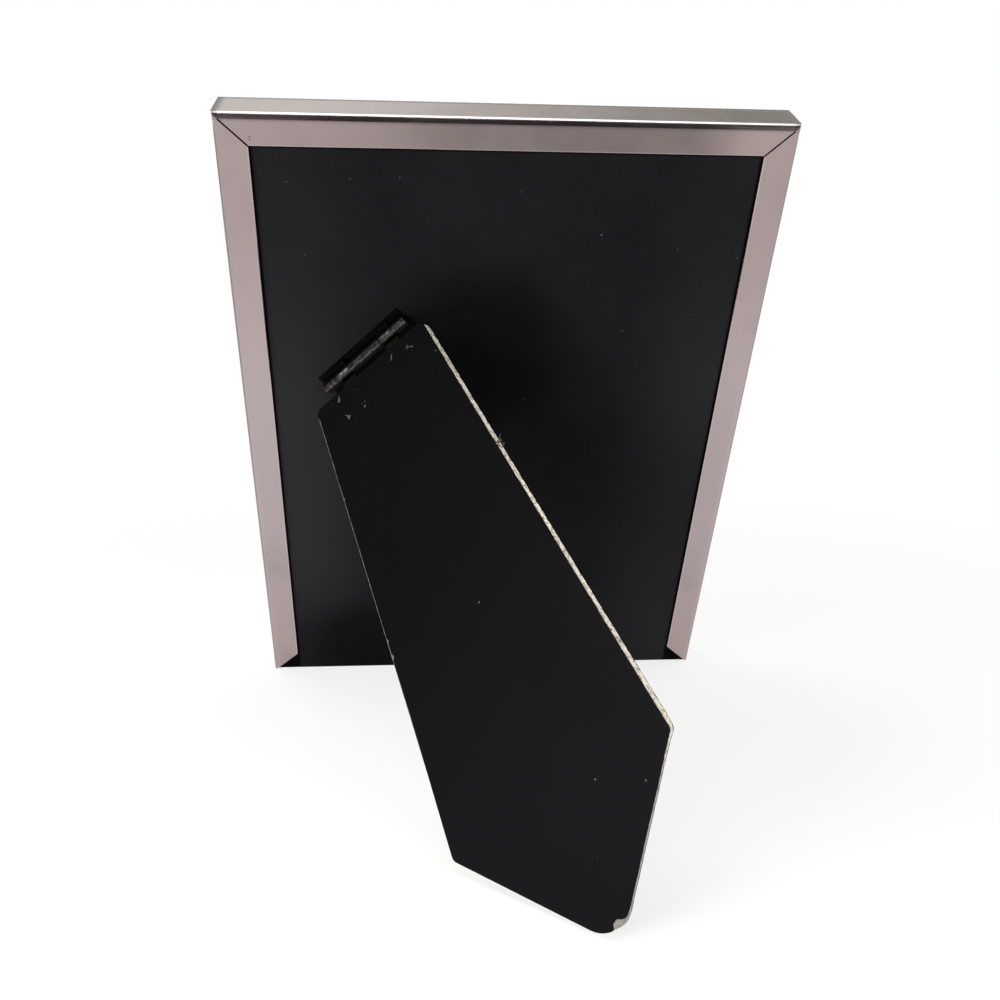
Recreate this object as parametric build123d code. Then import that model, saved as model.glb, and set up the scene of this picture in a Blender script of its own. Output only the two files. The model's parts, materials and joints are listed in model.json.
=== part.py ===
from build123d import *
import math
import os

# Easel back photo frame, in millimetres.
# It is drawn upright: +X right seen from the front, the front towards -Y, +Z up,
# Y = 0 at the rear face of the back flanges. It is then leaned back onto its leg.

# What the frame holds, in order from the front
INSERT_WIDTH = 130.0
INSERT_HEIGHT = 180.0
GLASS = 2.0
GLASS_SEAM = 0.25
PRINT_SIDE_MARGIN = 1.5
PRINT_TOP_MARGIN = 2.0
PRINT = 0.3
CARD = 1.2
PAD = 3.85
SEAT_GAP = 0.05
INSERT_SIDE_GAP = 0.75
INSERT_TOP_GAP = 0.45

# Rails of folded sheet
RAIL_SHEET = 0.6
BACK_FLANGE = 7.7
FRONT_LIP = 6.0
ARRIS_RADIUS = 1.5
FLANGE_EDGE_RADIUS = 0.3
BACK_MITRE_GAP = 0.4
FRONT_MITRE_GAP = 0.15

# Corner angles soldered inside the rails
ANGLE_SHEET = 0.6
ANGLE_ARM = 14.0
ANGLE_BEND_RADIUS = 1.2
ANGLE_SETBACK = 1.0
SOLDER_GAP = 0.05

# Back board, which slides in from below
BOARD_CORE = 2.4
PAPER = 0.2
BOARD_SIDE_GAP = 0.2
BOARD_TOP_GAP = 0.1
BOARD_TAIL = 0.5
BOARD_CORNER_RADIUS = 1.8
SLIDE_GAP = 0.15
BOARD_FRONT_GAP = 0.3

# Hinge between board and leg
HINGE_FROM_SIDE = 32.35
HINGE_UP = 120.6
HINGE_ANGLE = 46.0
OPENING = 59.0
HINGE_LENGTH = 29.5
KNUCKLE_RADIUS = 1.5
KNUCKLE_LIFT = 0.2
PIN_RADIUS = 0.75
PIN_GAP = 0.05
LEAF_SHEET = 0.4
BOARD_LEAF_ABOVE = 3.2
BOARD_LEAF_BELOW = 13.0
LEG_KNUCKLE_AT = 8.0
LEG_KNUCKLE_LENGTH = 4.6
KNUCKLE_GAP = 0.2
NOTCH_GAP = 0.35
HEEL_REACH = 2.9
HEEL_SHEET = 0.8
HEEL_GAP = 0.05
LEG_LEAF_INSET = 0.6
LEG_LEAF_DOWN = 10.7
PRONG_RADIUS = 0.6
PRONG_INSET = 2.4
PRONG_INNER_AT = 6.3
PRONG_GAP = 0.05

# Leg: fibreboard between two papers
LEG_CORE = 2.0
LEG_TOP_DROP = 4.7
LEG_TOP_WIDTH = 38.8
LEG_FOOT_WIDTH = 57.0
LEG_SHOULDER = 109.2
FOOT_HALF_ANGLE = 46.5
LEG_TOP_RADIUS = 2.0
LEG_SHOULDER_RADIUS = 1.5
LEG_TIP_RADIUS = 7.0
FOLD_GAP = 0.3

# Frame size, worked out round the insert
SIDE_BUILD = INSERT_SIDE_GAP + ANGLE_SHEET + SOLDER_GAP + RAIL_SHEET
SEAT_Z = RAIL_SHEET + SOLDER_GAP + ANGLE_SHEET + SEAT_GAP
FRAME_WIDTH = INSERT_WIDTH + 2 * SIDE_BUILD
FRAME_HEIGHT = SEAT_Z + INSERT_HEIGHT + INSERT_TOP_GAP + ANGLE_SHEET + SOLDER_GAP + RAIL_SHEET

# The inside bend of a rail, and how far it reaches in at the depth of the board's rear face
BEND_INSIDE = ARRIS_RADIUS - RAIL_SHEET
BEND_REACH = BEND_INSIDE - math.sqrt(BEND_INSIDE ** 2 - max(0, BEND_INSIDE - SLIDE_GAP) ** 2)

# Depths from the rear face of the back flanges to the front
BOARD_REAR_Y = -RAIL_SHEET - SLIDE_GAP
BOARD_FRONT_Y = BOARD_REAR_Y - BOARD_CORE - 2 * PAPER
PAD_REAR_Y = BOARD_FRONT_Y - BOARD_FRONT_GAP
CARD_REAR_Y = PAD_REAR_Y - PAD - SEAT_GAP
PRINT_REAR_Y = CARD_REAR_Y - CARD - SEAT_GAP
GLASS_REAR_Y = PRINT_REAR_Y - PRINT - SEAT_GAP
LIP_INNER_Y = GLASS_REAR_Y - GLASS - SEAT_GAP
FRAME_DEPTH = RAIL_SHEET - LIP_INNER_Y

# Hinge place: local x runs up along the pin, local y up the board square to it, local z to the rear
HINGE_TILT = math.radians(HINGE_ANGLE)
PIN_DIRECTION = (-math.cos(HINGE_TILT), 0, math.sin(HINGE_TILT))
PIN_Y = BOARD_REAR_Y + KNUCKLE_RADIUS + KNUCKLE_LIFT
HINGE_ACROSS = FRAME_WIDTH / 2 - HINGE_FROM_SIDE
HINGE_PLANE = Plane(origin=(HINGE_ACROSS, 0, HINGE_UP), x_dir=PIN_DIRECTION, z_dir=(0, 1, 0))
PIN_AXIS = Axis((HINGE_ACROSS, PIN_Y, HINGE_UP), PIN_DIRECTION)

# Leg sizes along its own length, counted from the pin
LEG_TIP = LEG_SHOULDER + LEG_FOOT_WIDTH / 2 / math.tan(math.radians(FOOT_HALF_ANGLE))
LEG_CORE_Z = FOLD_GAP + PAPER
LEG_REAR_Z = LEG_CORE_Z + LEG_CORE
LEG_LEAF_TOP = LEG_TOP_DROP + LEG_LEAF_INSET

# Working values: how far cuts run past a face, and the search for the lean
OVERCUT = 1.0
MOST_LEAN = 80.0
LEAN_STEPS = 30


def prism(outline, y_rear, y_front):
    """Extrudes an outline drawn in X and Z from one depth to another."""
    return extrude(Plane.XZ.offset(-y_rear) * outline, amount=y_rear - y_front)


def sheet(width, z_low, z_high, y_rear, thickness):
    """A flat rectangular sheet, centred across the frame."""
    outline = Pos(0, (z_low + z_high) / 2) * Rectangle(width, z_high - z_low)
    return prism(outline, y_rear, y_rear - thickness)


def centred(outline):
    return Pos(0, FRAME_HEIGHT / 2) * outline


def folded_ring():
    """All four rails in one: outer wall, back flange and front lip round the whole frame."""
    solid = prism(centred(Rectangle(FRAME_WIDTH, FRAME_HEIGHT)), 0, -FRAME_DEPTH)
    solid = fillet(solid.faces().filter_by(Axis.Y).edges(), ARRIS_RADIUS)
    hollow_outline = Rectangle(FRAME_WIDTH - 2 * RAIL_SHEET, FRAME_HEIGHT - 2 * RAIL_SHEET)
    hollow = prism(centred(hollow_outline), -RAIL_SHEET, LIP_INNER_Y)
    hollow = fillet(hollow.faces().filter_by(Axis.Y).edges(), BEND_INSIDE)
    back_window = centred(Rectangle(FRAME_WIDTH - 2 * BACK_FLANGE, FRAME_HEIGHT - 2 * BACK_FLANGE))
    front_window = centred(Rectangle(FRAME_WIDTH - 2 * FRONT_LIP, FRAME_HEIGHT - 2 * FRONT_LIP))
    middle_y = -FRAME_DEPTH / 2
    solid -= hollow
    solid -= prism(back_window, OVERCUT, middle_y)
    solid -= prism(front_window, middle_y, -FRAME_DEPTH - OVERCUT)
    window_edges = solid.faces().sort_by(Axis.Y)[-1].inner_wires()[0].edges()
    return fillet(window_edges, FLANGE_EDGE_RADIUS)


def mitre_slots(gap, y_rear, y_front, z_signs):
    """Slots along the mitres of one face, from the window to the bend of the outer wall."""
    slots = []
    reach = math.sqrt(2) * max(BACK_FLANGE, FRONT_LIP)
    for x_sign in (-1, 1):
        for z_sign in z_signs:
            bend_x = x_sign * (FRAME_WIDTH / 2 - ARRIS_RADIUS)
            bend_z = FRAME_HEIGHT / 2 + z_sign * (FRAME_HEIGHT / 2 - ARRIS_RADIUS)
            turn = 45 if x_sign * z_sign > 0 else -45
            slot = Rectangle(reach, gap, align=(Align.MAX if x_sign > 0 else Align.MIN, Align.CENTER))
            slots.append(prism(Pos(bend_x, bend_z) * Rot(0, 0, turn) * slot, y_rear, y_front))
    return slots


def rails():
    """The ring cut at its mitres. The bottom rail has no back flange, so the board can slide out."""
    ring = folded_ring()
    ring -= mitre_slots(BACK_MITRE_GAP, OVERCUT, -RAIL_SHEET - SLIDE_GAP, (1,))
    ring -= mitre_slots(FRONT_MITRE_GAP, LIP_INNER_Y + SEAT_GAP, -FRAME_DEPTH - OVERCUT, (-1, 1))
    deep = max(BACK_FLANGE, FRONT_LIP) + OVERCUT
    left, right, low, high = -FRAME_WIDTH / 2, FRAME_WIDTH / 2, 0, FRAME_HEIGHT
    out = OVERCUT
    outlines = {
        "top_rail": [(left - out, high + out), (right + out, high + out),
                     (right - deep, high - deep), (left + deep, high - deep)],
        "left_rail": [(left - out, low - out), (left - out, high + out),
                      (left + deep, high - deep), (left + deep, low + deep)],
        "right_rail": [(right + out, low - out), (right + out, high + out),
                       (right - deep, high - deep), (right - deep, low + deep)],
        "bottom_rail": [(left - out, low - out), (right + out, low - out),
                        (right - deep, low + deep), (left + deep, low + deep)],
    }
    made = {}
    for name, corners in outlines.items():
        wedge = make_face(Polyline(*corners, close=True))
        made[name] = ring & prism(wedge, OVERCUT, -FRAME_DEPTH - OVERCUT)
    mouth = Pos(0, (deep - out) / 2) * Rectangle(FRAME_WIDTH + 2 * out, deep + out)
    made["bottom_rail"] -= prism(mouth, OVERCUT, PAD_REAR_Y)
    return made


def corner_angles():
    """Four bent angles, one inside each corner, in front of the board's path."""
    outside = FRAME_WIDTH - 2 * (RAIL_SHEET + SOLDER_GAP)
    tall = FRAME_HEIGHT - 2 * (RAIL_SHEET + SOLDER_GAP)
    band = RectangleRounded(outside, tall, ANGLE_BEND_RADIUS)
    band -= Rectangle(outside - 2 * ANGLE_SHEET, tall - 2 * ANGLE_SHEET)
    angle_front_y = LIP_INNER_Y + BEND_INSIDE + SOLDER_GAP
    ring = prism(centred(band), PAD_REAR_Y - ANGLE_SETBACK, angle_front_y)
    made = {}
    for side, x_sign in (("left", -1), ("right", 1)):
        for end, z_sign in (("bottom", -1), ("top", 1)):
            square = Pos(x_sign * outside / 2, z_sign * tall / 2) * Rectangle(2 * ANGLE_ARM, 2 * ANGLE_ARM)
            made[f"corner_angle_{end}_{side}"] = ring & prism(centred(square), 0, -FRAME_DEPTH)
    return made


def contents():
    """Glass, print, card and pad, all standing on the bottom rail."""
    top = SEAT_Z + INSERT_HEIGHT
    print_width = INSERT_WIDTH - 2 * PRINT_SIDE_MARGIN
    glass = sheet(INSERT_WIDTH, SEAT_Z, top, GLASS_REAR_Y, GLASS)
    return {
        "glass_pane": chamfer(glass.edges(), GLASS_SEAM),
        "photo_print": sheet(print_width, SEAT_Z, top - PRINT_TOP_MARGIN, PRINT_REAR_Y, PRINT),
        "backing_card": sheet(INSERT_WIDTH, SEAT_Z, top, CARD_REAR_Y, CARD),
        "filler_pad": sheet(INSERT_WIDTH, SEAT_Z, top, PAD_REAR_Y, PAD),
    }


def board_prong_places():
    """Places along the pin and down from it where the board leaf is pronged into the board."""
    along = HINGE_LENGTH / 2 - PRONG_INSET
    near = KNUCKLE_RADIUS + NOTCH_GAP + PRONG_INSET
    far = BOARD_LEAF_BELOW - PRONG_INSET
    return [(x, down) for x in (-along, along) for down in (near, far)]


def leg_prong_places():
    """Places along the pin and down from it where the leg leaf is pronged into the leg."""
    along = HINGE_LENGTH / 2 - PRONG_INSET
    near = LEG_LEAF_TOP + PRONG_INSET
    far = LEG_LEAF_TOP + LEG_LEAF_DOWN - PRONG_INSET
    corners = [(x, down) for x in (-along, along) for down in (near, far)]
    return corners + [(-PRONG_INNER_AT, far), (PRONG_INNER_AT, near)]


def posts(places, radius, z_low, z_high):
    """Round posts square to the leaf, for prongs and for the holes they go through."""
    height = z_high - z_low
    return [Pos(x, -down, z_low + height / 2) * Cylinder(radius, height) for x, down in places]


def block(x_low, x_high, down_low, down_high, z_low, z_high):
    """A box in the hinge's own directions, with distances down from the pin."""
    size = Box(x_high - x_low, down_high - down_low, z_high - z_low)
    return Pos((x_low + x_high) / 2, -(down_low + down_high) / 2, (z_low + z_high) / 2) * size


def barrel(x_low, x_high, radius):
    """A round bar along the pin."""
    return Pos((x_low + x_high) / 2, 0, PIN_Y) * Rot(0, 90, 0) * Cylinder(radius, x_high - x_low)


def board_outline():
    """The board's face, round at the two top corners that sit in the corners of the rails."""
    width = FRAME_WIDTH - 2 * (RAIL_SHEET + BEND_REACH + BOARD_SIDE_GAP)
    top = FRAME_HEIGHT - RAIL_SHEET - BEND_REACH - BOARD_TOP_GAP
    face = Pos(0, (BOARD_TAIL + top) / 2) * Rectangle(width, top - BOARD_TAIL)
    return fillet(face.vertices().group_by(Axis.Y)[-1], BOARD_CORNER_RADIUS)


def board():
    """Fibreboard core between a black rear paper and a lining, with holes for the hinge's prongs."""
    outline = board_outline()
    core_rear_y = BOARD_REAR_Y - PAPER
    core_front_y = core_rear_y - BOARD_CORE
    holes = posts(board_prong_places(), PRONG_RADIUS + PRONG_GAP, core_front_y, BOARD_REAR_Y)
    holes = [HINGE_PLANE * hole for hole in holes]
    return {
        "board_rear_paper": prism(outline, BOARD_REAR_Y, core_rear_y) - holes,
        "board_core": prism(outline, core_rear_y, core_front_y) - holes,
        "board_lining": prism(outline, core_front_y, BOARD_FRONT_Y),
    }


def board_leaf():
    """Leaf on the board with three knuckles, two windows for the leg's knuckles, and four prongs."""
    half = HINGE_LENGTH / 2
    leaf_top = BOARD_REAR_Y + LEAF_SHEET
    leaf = block(-half, half, -BOARD_LEAF_ABOVE, BOARD_LEAF_BELOW, BOARD_REAR_Y, leaf_top)
    inner = LEG_KNUCKLE_AT - LEG_KNUCKLE_LENGTH / 2 - KNUCKLE_GAP
    outer = LEG_KNUCKLE_AT + LEG_KNUCKLE_LENGTH / 2 + KNUCKLE_GAP
    clear = KNUCKLE_RADIUS + NOTCH_GAP
    for low, high in ((-outer, -inner), (inner, outer)):
        leaf -= block(low, high, -KNUCKLE_RADIUS, clear, BOARD_REAR_Y - OVERCUT, leaf_top + OVERCUT)
    for low, high in ((-half, -outer), (-inner, inner), (outer, half)):
        leaf += barrel(low, high, KNUCKLE_RADIUS)
    leaf += posts(board_prong_places(), PRONG_RADIUS, BOARD_REAR_Y - PAPER - BOARD_CORE, leaf_top)
    return HINGE_PLANE * (leaf - barrel(-half - OVERCUT, half + OVERCUT, PIN_RADIUS))


def leg_leaf():
    """Leaf under the leg: two arms with knuckles and stop heels, drawn with the leg folded."""
    half = HINGE_LENGTH / 2
    leaf_low = FOLD_GAP - LEAF_SHEET
    leaf = block(-half, half, LEG_LEAF_TOP, LEG_LEAF_TOP + LEG_LEAF_DOWN, leaf_low, FOLD_GAP)
    heel_low = BOARD_REAR_Y + LEAF_SHEET + HEEL_GAP
    for middle in (-LEG_KNUCKLE_AT, LEG_KNUCKLE_AT):
        low, high = middle - LEG_KNUCKLE_LENGTH / 2, middle + LEG_KNUCKLE_LENGTH / 2
        leaf += block(low, high, 0, LEG_LEAF_TOP + LEG_LEAF_INSET, leaf_low, FOLD_GAP)
        leaf += barrel(low, high, KNUCKLE_RADIUS)
        heel = block(low, high, -HEEL_REACH, 0, heel_low, heel_low + HEEL_SHEET)
        leaf += heel.rotate(Axis((0, 0, PIN_Y), (1, 0, 0)), OPENING)
    leaf += posts(leg_prong_places(), PRONG_RADIUS, leaf_low, LEG_REAR_Z)
    return HINGE_PLANE * (leaf - barrel(-half, half, PIN_RADIUS + PIN_GAP))


def leg_outline():
    """The leg's five-sided outline with round corners, its tip down."""
    corners = [
        (-LEG_TOP_WIDTH / 2, 0, LEG_TOP_RADIUS),
        (LEG_TOP_WIDTH / 2, 0, LEG_TOP_RADIUS),
        (LEG_FOOT_WIDTH / 2, LEG_SHOULDER, LEG_SHOULDER_RADIUS),
        (0, LEG_TIP, LEG_TIP_RADIUS),
        (-LEG_FOOT_WIDTH / 2, LEG_SHOULDER, LEG_SHOULDER_RADIUS),
    ]
    points = [(x, -LEG_TOP_DROP - down) for x, down, _ in corners]
    outline = make_face(Polyline(*points, close=True))
    for point, (_, _, radius) in zip(points, corners):
        outline = fillet(outline.vertices().sort_by_distance((*point, 0))[0], radius)
    return outline


def leg():
    """Leg pieces, drawn folded against the board."""
    outline = leg_outline()
    holes = posts(leg_prong_places(), PRONG_RADIUS + PRONG_GAP, FOLD_GAP, LEG_REAR_Z)
    layers = {
        "leg_front_paper": (FOLD_GAP, PAPER, holes),
        "leg_core": (LEG_CORE_Z, LEG_CORE, holes),
        "leg_rear_paper": (LEG_REAR_Z, PAPER, []),
    }
    made = {}
    for name, (z_low, thickness, cuts) in layers.items():
        layer = Pos(0, 0, z_low) * extrude(outline, amount=thickness)
        made[name] = HINGE_PLANE * (layer - cuts if cuts else layer)
    made["hinge_leg_leaf"] = leg_leaf()
    return made


def lowest(piece, lean):
    return piece.rotate(Axis.X, -lean).bounding_box().min.Z


def resting_lean(standing, propping):
    """The lean at which the frame and the leg both touch the table."""
    low, high = 0.0, MOST_LEAN
    for _ in range(LEAN_STEPS):
        lean = (low + high) / 2
        if lowest(propping, lean) > lowest(standing, lean):
            low = lean
        else:
            high = lean
    return (low + high) / 2


nodes = rails()
nodes.update(corner_angles())
nodes.update(contents())
nodes.update(board())
nodes["hinge_board_leaf"] = board_leaf()
nodes["hinge_pin"] = HINGE_PLANE * barrel(-HINGE_LENGTH / 2, HINGE_LENGTH / 2, PIN_RADIUS)
leg_pieces = {name: piece.rotate(PIN_AXIS, -OPENING) for name, piece in leg().items()}
nodes.update(leg_pieces)

lean = resting_lean(nodes["left_rail"], leg_pieces["leg_front_paper"])
leaned = {name: piece.rotate(Axis.X, -lean) for name, piece in nodes.items()}
boxes = [piece.bounding_box() for piece in leaned.values()]
y_middle = (min(box.min.Y for box in boxes) + max(box.max.Y for box in boxes)) / 2
z_low = min(box.min.Z for box in boxes)
stand = Pos(0, -y_middle, -z_low)

os.makedirs("parts", exist_ok=True)
for name, piece in leaned.items():
    export_step(stand * piece, f"parts/{name}.step")


def leaned_vector(vector):
    return Vector(*vector).rotate(Axis.X, -lean)


def table_point(point):
    return leaned_vector(point) + Vector(0, -y_middle, -z_low)


print("frame", FRAME_WIDTH, FRAME_HEIGHT, FRAME_DEPTH, "lean", lean)
print("pin at", table_point((HINGE_ACROSS, PIN_Y, HINGE_UP)), "along", leaned_vector(PIN_DIRECTION))
print("board slides", leaned_vector((0, 0, -1)), "front faces", leaned_vector((0, -1, 0)))
print("lip face point", table_point((0, -FRAME_DEPTH, FRONT_LIP / 2)))
print("bottom wall point", table_point((0, -FRAME_DEPTH / 2, 0)))
print("rear arris of the bottom line", table_point((0, 0, 0)))
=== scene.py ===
import json
import math
import random

import bmesh
import bpy
from mathutils import Euler, Matrix, Vector, noise


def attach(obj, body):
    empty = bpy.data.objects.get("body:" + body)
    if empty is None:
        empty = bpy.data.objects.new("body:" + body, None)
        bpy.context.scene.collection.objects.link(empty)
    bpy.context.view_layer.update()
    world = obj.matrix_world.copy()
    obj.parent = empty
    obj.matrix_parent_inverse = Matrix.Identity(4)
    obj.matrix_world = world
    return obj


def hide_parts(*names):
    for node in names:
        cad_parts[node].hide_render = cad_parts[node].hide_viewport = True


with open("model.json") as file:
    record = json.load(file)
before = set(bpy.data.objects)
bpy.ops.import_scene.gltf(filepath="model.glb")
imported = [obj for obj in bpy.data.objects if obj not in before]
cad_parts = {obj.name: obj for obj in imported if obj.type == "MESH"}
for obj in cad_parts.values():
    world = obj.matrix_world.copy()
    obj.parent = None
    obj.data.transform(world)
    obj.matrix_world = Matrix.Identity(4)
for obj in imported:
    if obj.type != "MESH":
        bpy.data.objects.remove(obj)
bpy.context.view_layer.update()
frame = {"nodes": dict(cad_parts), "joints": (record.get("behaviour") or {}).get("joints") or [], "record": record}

# An easel back photo frame, seen from behind. Lengths are in metres.
MM = 0.001

# Directions of the frame, the back board and the leg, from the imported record. Right is as seen from behind.
joints = {joint["name"]: joint for joint in frame["joints"]}
mounts = {mount["name"]: mount for mount in frame["record"]["mounts"]}
UP_BOARD = -Vector(joints["back_slide"]["axis"]).normalized()
REAR = -Vector(mounts["front_lip"]["axis"]).normalized()
RIGHT = UP_BOARD.cross(REAR)
PIN_AT = Vector(joints["leg_hinge"]["pos_m"])
ALONG_PIN = Vector(joints["leg_hinge"]["axis"]).normalized()
OPENING = math.radians(joints["leg_hinge"]["range_deg"][1])
LEG_REAR = Matrix.Rotation(-OPENING, 3, ALONG_PIN) @ REAR
UP_LEG = LEG_REAR.cross(ALONG_PIN)


def place(x, y, z, origin):
    """A place whose own x, y and z run along three directions."""
    turn = Matrix((x, y, z)).transposed()
    return Matrix.Translation(origin) @ turn.to_4x4()


def reach(node, direction, origin=Vector()):
    """How far a node reaches in a direction, counted from a point."""
    return max(direction.dot(vertex.co - origin) for vertex in frame["nodes"][node].data.vertices)


def colour(red, green, blue):
    """A solid colour, in linear light."""
    return (red, green, blue, 1.0)


def ease(value, low, high):
    """Smoothly from 0 at one value to 1 at another."""
    part = min(max((value - low) / (high - low), 0.0), 1.0)
    return part * part * (3 - 2 * part)


# The board's rear face with its origin low in the middle, and the leg with its origin on the pin
BOARD_FACE = REAR * reach("board_rear_paper", REAR) + UP_BOARD * -reach("board_core", -UP_BOARD)
BOARD_PLACE = place(RIGHT, UP_BOARD, REAR, BOARD_FACE)
LEG_PLACE = place(ALONG_PIN, UP_LEG, LEG_REAR, PIN_AT)

# The rails: where their back flange, front and outer walls lie, and a dark mark near one mitre
FLANGE_Z = reach("top_rail", REAR, BOARD_FACE)
RAIL_FRONT_Z = -reach("top_rail", -REAR, BOARD_FACE)
RAIL_TOP = reach("top_rail", UP_BOARD, BOARD_FACE)
RAIL_SIDE = reach("top_rail", RIGHT, BOARD_FACE)
FLANGE_WIDTH = 7.7 * MM
RAIL_MARKS = [(-58.8 * MM, 177.0 * MM, 0.18 * MM), (-58.8 * MM, 176.4 * MM, 0.18 * MM)]

# Wear and painted shade of the plating, from where each starts to where it is full: heights that hands have rubbed
# from below and from above, widths over which the flange is tarnished and the walls get a painted shade of their
# reflection, and depths of painted shade in the corners
GRIP_FROM_BELOW = (-25 * MM, 70 * MM)
GRIP_FROM_ABOVE = (165 * MM, 105 * MM)
FLANGE_DULLS = (-78 * MM, 24 * MM)
FLANGE_CLEARS = (58 * MM, 40 * MM)
WALL_PAINTED_SHADE = (-50 * MM, 58 * MM)
CORNER_PAINTED_SHADE = (-2.4 * MM, -0.3 * MM)

# Specks on the board, as places across and up its rear face with their radius
BOARD_SPECKS = [
    (23.1 * MM, 153.8 * MM, 0.22 * MM), (57.7 * MM, 148.0 * MM, 0.16 * MM),
    (31.3 * MM, 126.5 * MM, 0.18 * MM), (7.0 * MM, 105.3 * MM, 0.16 * MM),
    (46.1 * MM, 23.3 * MM, 0.2 * MM), (-37.0 * MM, 167.2 * MM, 0.14 * MM),
    (-25.5 * MM, 167.7 * MM, 0.14 * MM),
]

# Painted shadow on the board's paper, as round spots: beside the hinge, and low beside the leg
PAINTED_SHADOW_SPOTS = [(-6.0 * MM, 120.0 * MM, 26.0 * MM), (-36.0 * MM, 11.0 * MM, 19.0 * MM)]

# The blank print's white border, and how soft its inner edge is
PRINT_BORDER = 8.0 * MM
BORDER_EDGE = 0.2 * MM

# The leg: fibreboard between two papers, with its pointed foot down
LEG_TOP_DROP = 4.7 * MM
LEG_TOP_WIDTH = 38.8 * MM
LEG_FOOT_WIDTH = 57.0 * MM
LEG_SHOULDER = 109.2 * MM
FOOT_HALF_ANGLE = math.radians(46.5)
LEG_TOP_RADIUS = 2.0 * MM
LEG_SHOULDER_RADIUS = 1.5 * MM
LEG_TIP_RADIUS = 7.0 * MM
LEG_TIP = LEG_SHOULDER + LEG_FOOT_WIDTH / 2 / math.tan(FOOT_HALF_ANGLE)
PAPER = 0.2 * MM
LEG_CORE = 2.0 * MM
LEG_REAR_Z = reach("leg_rear_paper", LEG_REAR, PIN_AT)
CORE_FRONT_Z = LEG_REAR_Z - PAPER - LEG_CORE
LEG_FRONT_Z = CORE_FRONT_Z - PAPER
SHOULDER_Y = -LEG_TOP_DROP - LEG_SHOULDER
TIP_CENTRE_Y = -LEG_TOP_DROP - LEG_TIP + LEG_TIP_RADIUS / math.sin(FOOT_HALF_ANGLE)

# The leg's outline: segments of a rounded corner, and the spacing of points along an edge
CORNER_SEGMENTS = 10
EDGE_STEP = 0.35 * MM

# Wear of the leg: how far its papers and its core stand back from the cut edge, chips in the left edge as
# height, length and depth, and the bare patch at the tip as angles round its corner
FIBRE_LAYERS = 4
FIBRE_ROUGHNESS = 0.08 * MM
FIBRE_NUBS = 0.2 * MM
LEFT_SETBACK = 0.34 * MM
RIGHT_SETBACK = 0.12 * MM
FOOT_SETBACK = 0.05 * MM
FRONT_SETBACK = 0.04 * MM
FOOT_UNDERCUT = 0.5 * MM
EDGE_CHIPS = [
    (-30.4 * MM, 0.5 * MM, 0.35 * MM), (-66.8 * MM, 0.8 * MM, 0.4 * MM), (-70.6 * MM, 1.1 * MM, 0.5 * MM),
]
PATCH_DEPTH = 1.3 * MM
PATCH_START = (math.radians(-3), math.radians(3))
PATCH_END = (math.radians(6), math.radians(34))
TIP_CRUSH = 0.38 * MM

# Specks on the leg, as places along the pin and up the leg with their radius
LEG_SPECKS = [
    (1.97 * MM, -72.1 * MM, 0.22 * MM), (9.55 * MM, -114.6 * MM, 0.2 * MM),
    (19.2 * MM, -119.3 * MM, 0.2 * MM), (-4.6 * MM, -12.1 * MM, 0.14 * MM),
    (-5.5 * MM, -12.2 * MM, 0.12 * MM), (19.3 * MM, -14.4 * MM, 0.16 * MM),
]

# Prongs of the hinge leaf that break through the leg's rear paper: place, turn, length and width
PRONG_TIPS = [
    (-11.4 * MM, -6.3 * MM, 1.2, 1.9 * MM, 0.6 * MM), (-10.9 * MM, -12.2 * MM, 2.2, 2.0 * MM, 0.7 * MM),
    (7.5 * MM, -7.2 * MM, 0.95, 1.9 * MM, 0.35 * MM), (12.6 * MM, -8.0 * MM, 0.9, 1.2 * MM, 0.3 * MM),
    (13.5 * MM, -8.6 * MM, 2.6, 1.7 * MM, 0.32 * MM), (-5.0 * MM, -13.1 * MM, 0.6, 0.9 * MM, 0.4 * MM),
]
PRONG_SIDES = 8
PRONG_LEAN = math.radians(84)
PRONG_FLATNESS = 0.4
PRONG_POINT = 0.15

# Torn fibres on the leg's right edge, the large tuft first: place along it, count and length
TORN_FIBRES = [
    (22.9 * MM, -44.4 * MM, 9, 2.0 * MM), (23.4 * MM, -52.2 * MM, 3, 0.6 * MM),
    (23.9 * MM, -57.7 * MM, 3, 0.5 * MM), (25.3 * MM, -75.0 * MM, 4, 0.6 * MM),
    (27.5 * MM, -102.2 * MM, 3, 0.6 * MM), (28.0 * MM, -107.0 * MM, 3, 0.5 * MM),
]
FIBRE_SIDES = 5
FIBRE_RADIUS = 0.16 * MM
FIBRE_STEPS = 5
FIBRE_TAPER = 0.8
FIBRE_ROOT = 0.25 * MM
FIBRE_SPREAD = 0.9
FIBRE_SEED = 5

# The hinge's rolled barrel, and its two worn places along the pin with how bare each is
KNUCKLE_RADIUS = 1.5 * MM
WORN_KNUCKLES = [(-7.6 * MM, 0.6), (8.0 * MM, 0.28)]
WORN_LENGTH = (2.6 * MM, 0.8 * MM)

# Camera, as the photograph was taken
CAMERA_AT = Vector((19.357, 246.021, 115.869)) * MM
CAMERA_TURN = (math.radians(87.395), math.radians(-0.436), math.radians(175.667))
CAMERA_LENS = 35.14
CAMERA_SHIFT = -0.148
CAMERA_NEAREST = 10 * MM

# Studio: lamps as name, place, aim, size and power, dark cards with the solid share of their height in
# its stead, the floor, and the light that comes from all round
LAMPS = [
    ("key_left", (0.6, 0.42, 0.22), (0.05, 0.05, 0.04), (0.4, 0.35), 7.7),
    ("fill_right", (-0.55, 0.45, 0.2), (0, 0, 0.05), (0.4, 0.35), 3.0),
    ("overhead", (-0.05, 0.15, 0.8), (-0.05, 0.05, 0.1), (1.2, 0.45), 5.5),
    ("fill_front", (0.55, -0.6, 0.4), (0, 0, 0.08), (0.6, 0.5), 2.0),
]
DARK_CARDS = [
    ("card_behind_camera", (0.15, 0.34, 0.29), (0.15, 0.0, 0.16), (1.8, 0.48), 0.98),
    ("card_in_front", (0.0, -0.9, 0.5), (0.0, 0.0, 0.16), (2.4, 0.5), 0.3),
]
FLOOR_RADIUS = 6.0
FLOOR_SEGMENTS = 96
SHADOW_REACH = (0.08, 0.42)
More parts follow.
